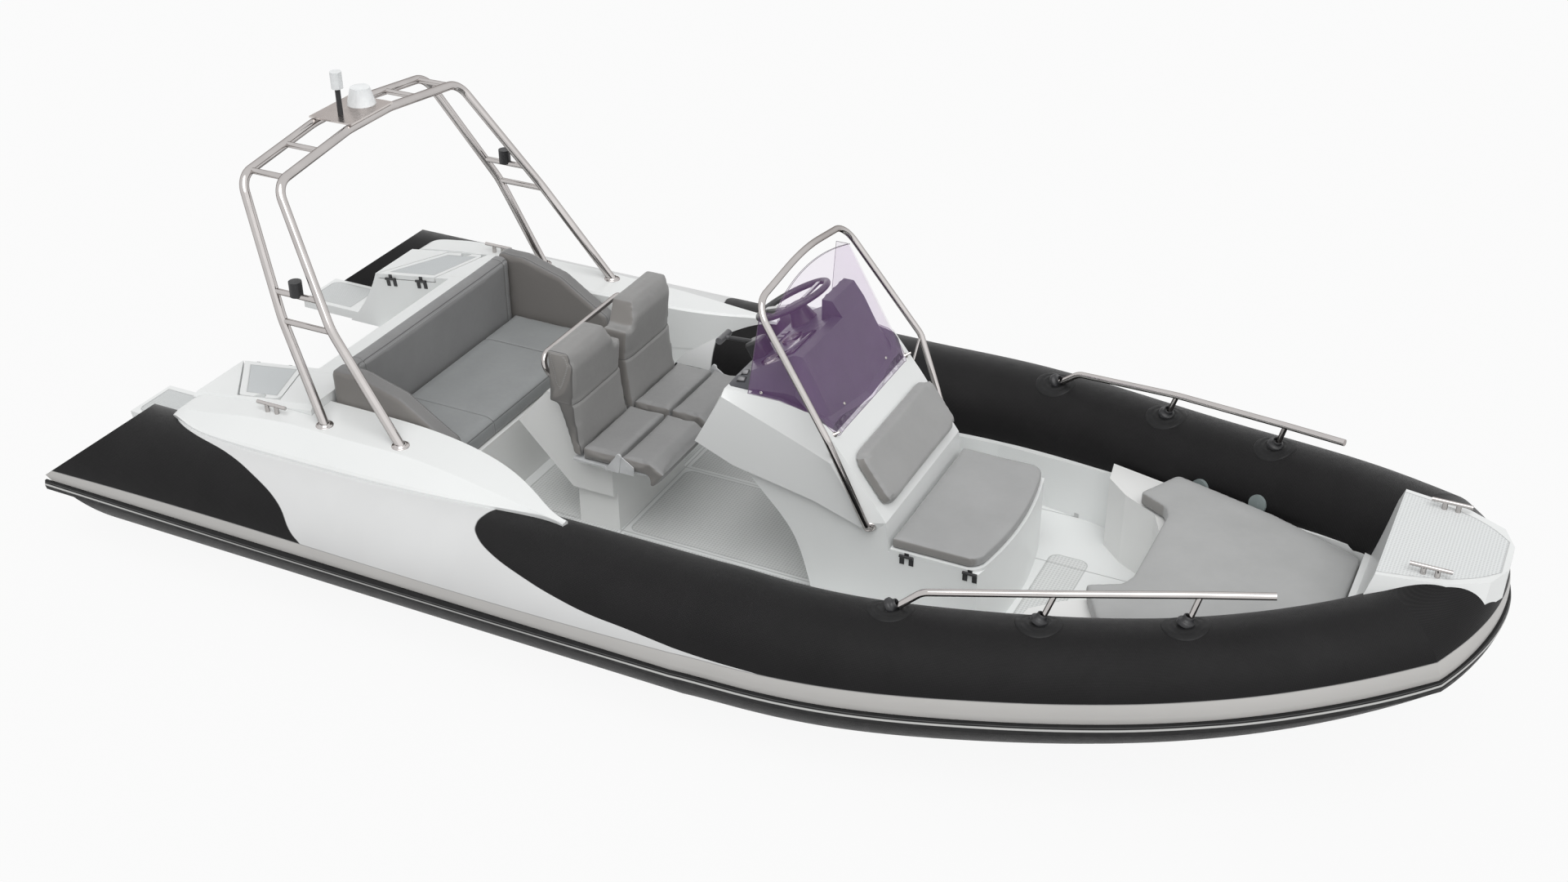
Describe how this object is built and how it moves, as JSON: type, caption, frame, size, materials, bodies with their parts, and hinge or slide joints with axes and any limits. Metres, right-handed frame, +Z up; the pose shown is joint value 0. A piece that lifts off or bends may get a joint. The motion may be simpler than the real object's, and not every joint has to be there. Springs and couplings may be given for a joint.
{
  "type": "inflatable rib boat",
  "caption": "Rigid inflatable boat with a deep V hull, open cockpit, centre console with windscreen, helm seat, stern lounge, bow sunpad, handrails and raked roll bar.",
  "frame": {"origin": "on the centreline at the waterline, amidships", "axes": "+X forward, +Y to port, +Z up"},
  "size_m": [5.947, 2.612, 2.271],
  "materials": {
    "hull_white": "gloss",
    "tube_fabric": "woven, satin",
    "black_rubber": "matte",
    "cushion": "soft vinyl, satin",
    "stainless": "polished",
    "black_plastic": "satin",
    "lens": "gloss",
    "grey_plastic": "satin",
    "screen": "clear, tinted"
  },
  "bodies": {
    "boat": {"bow_base": "hull_white", "bow_step": "hull_white", "coaming_port": "hull_white", "coaming_stbd": "hull_white", "console_backrest": "cushion", "console_body": "hull_white", "console_seat_box": "hull_white", "cup_holders": "stainless", "dash": "black_plastic", "deck_cleats": "stainless", "deck_moulding": "hull_white", "grab_handle": "stainless", "handrail_port": "stainless", "handrail_stbd": "stainless", "helm_backs": "cushion", "helm_bezel": "black_plastic", "helm_pod": "hull_white", "helm_seat_pan": "stainless", "helm_seats": "cushion", "hinge_bases": "black_plastic", "hull": "hull_white", "light_cases": "black_plastic", "lounge_arm_port": "cushion", "lounge_arm_stbd": "cushion", "lounge_back": "cushion", "lounge_base": "hull_white", "lounge_seat": "cushion", "masthead": "lens", "motor_bracket": "black_plastic", "rail_patches": "black_rubber", "roll_bar_aft": "stainless", "roll_bar_fore": "stainless", "roll_bar_plate": "stainless", "roll_bar_rungs": "stainless", "rub_strake": "black_rubber", "stern_block": "hull_white", "sunpad": "cushion", "swim_platforms": "hull_white", "throttle": "black_plastic", "tube_bow": "tube_fabric", "tube_port_aft": "tube_fabric", "tube_port_fore": "tube_fabric", "tube_stbd_aft": "tube_fabric", "tube_stbd_fore": "tube_fabric", "valve_caps": "grey_plastic", "windscreen": "screen", "windscreen_rail": "stainless"},
    "steering": {"steering_wheel": "black_plastic"},
    "console_lid": {"console_seat_lid": "hull_white", "console_seat_cushion": "cushion", "console_hinge": "black_plastic"},
    "stern_lid_port": {"stern_lid_port": "hull_white", "stern_hinge_port": "black_plastic"},
    "stern_lid_stbd": {"stern_lid_stbd": "hull_white", "stern_hinge_stbd": "black_plastic"},
    "bolster_port": {"bolster_port": "cushion", "bolster_hinge_port": "stainless"},
    "bolster_stbd": {"bolster_stbd": "cushion", "bolster_hinge_stbd": "stainless"}
  },
  "joints": [
    {"name": "steering_turn", "type": "hinge", "parent": "boat", "child": "steering", "pos_m": [0.03572, 0.175, 1.15044], "axis": [-0.5121, 0, 0.8589], "range_deg": [-540, 540]},
    {"name": "console_lid_hinge", "type": "hinge", "parent": "boat", "child": "console_lid", "pos_m": [0.93, -0.4065, 0.4705], "axis": [1, 0, 0], "range_deg": [0, 95]},
    {"name": "stern_lid_port_hinge", "type": "hinge", "parent": "boat", "child": "stern_lid_port", "pos_m": [-2.24612, 0.4935, 0.65183], "axis": [0.9901, 0, 0.1402], "range_deg": [0, 95]},
    {"name": "stern_lid_stbd_hinge", "type": "hinge", "parent": "boat", "child": "stern_lid_stbd", "pos_m": [-2.24612, -0.4935, 0.65183], "axis": [-0.9901, 0, -0.1402], "range_deg": [0, 95]},
    {"name": "bolster_port_flip", "type": "hinge", "parent": "boat", "child": "bolster_port", "pos_m": [-0.505, 0.221, 0.611], "axis": [0, -1, 0], "range_deg": [0, 90]},
    {"name": "bolster_stbd_flip", "type": "hinge", "parent": "boat", "child": "bolster_stbd", "pos_m": [-0.505, -0.221, 0.611], "axis": [0, -1, 0], "range_deg": [0, 90]}
  ]
}
